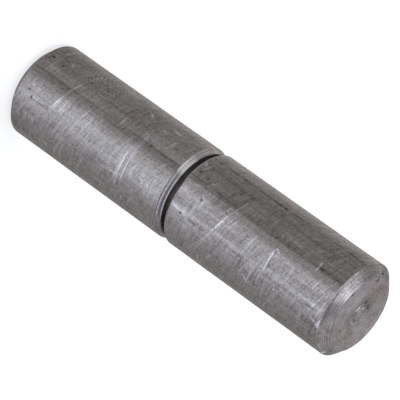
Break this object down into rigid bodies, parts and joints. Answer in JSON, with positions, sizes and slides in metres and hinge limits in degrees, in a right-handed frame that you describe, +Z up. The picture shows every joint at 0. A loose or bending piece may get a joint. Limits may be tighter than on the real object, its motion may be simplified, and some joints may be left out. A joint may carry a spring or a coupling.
{
  "type": "weld on barrel hinge",
  "caption": "Round bar weld-on barrel hinge: a lower barrel with a pressed-in pin, a thrust washer, and an upper barrel that turns on the pin and lifts off it.",
  "frame": {"origin": "centre of the pin barrel's closed end face, on the hinge axis, where the hinge stands", "axes": "+Z up along the hinge axis, from the pin barrel to the socket barrel; X and Y square to it, as a round hinge has no front"},
  "size_m": [0.02, 0.02, 0.0837],
  "materials": {
    "drawn_bar_steel": "raw cold-drawn mild steel bar, cut and chamfered, scratched in handling, no coating",
    "ground_pin_steel": "ground bright steel with a thin film of grease",
    "washer_steel": "plain punched steel, dull"
  },
  "bodies": {
    "lower": {"pin_barrel": "drawn_bar_steel", "hinge_pin": "ground_pin_steel"},
    "washer": {"thrust_washer": "washer_steel"},
    "upper": {"socket_barrel": "drawn_bar_steel"}
  },
  "joints": [
    {"name": "swing", "type": "hinge", "parent": "lower", "child": "washer", "pos_m": [0, 0, 0.0415], "axis": [0, 0, 1], "continuous": true},
    {"name": "lift_off", "type": "slide", "parent": "washer", "child": "upper", "axis": [0, 0, 1], "range_m": [0, 0.032]}
  ]
}
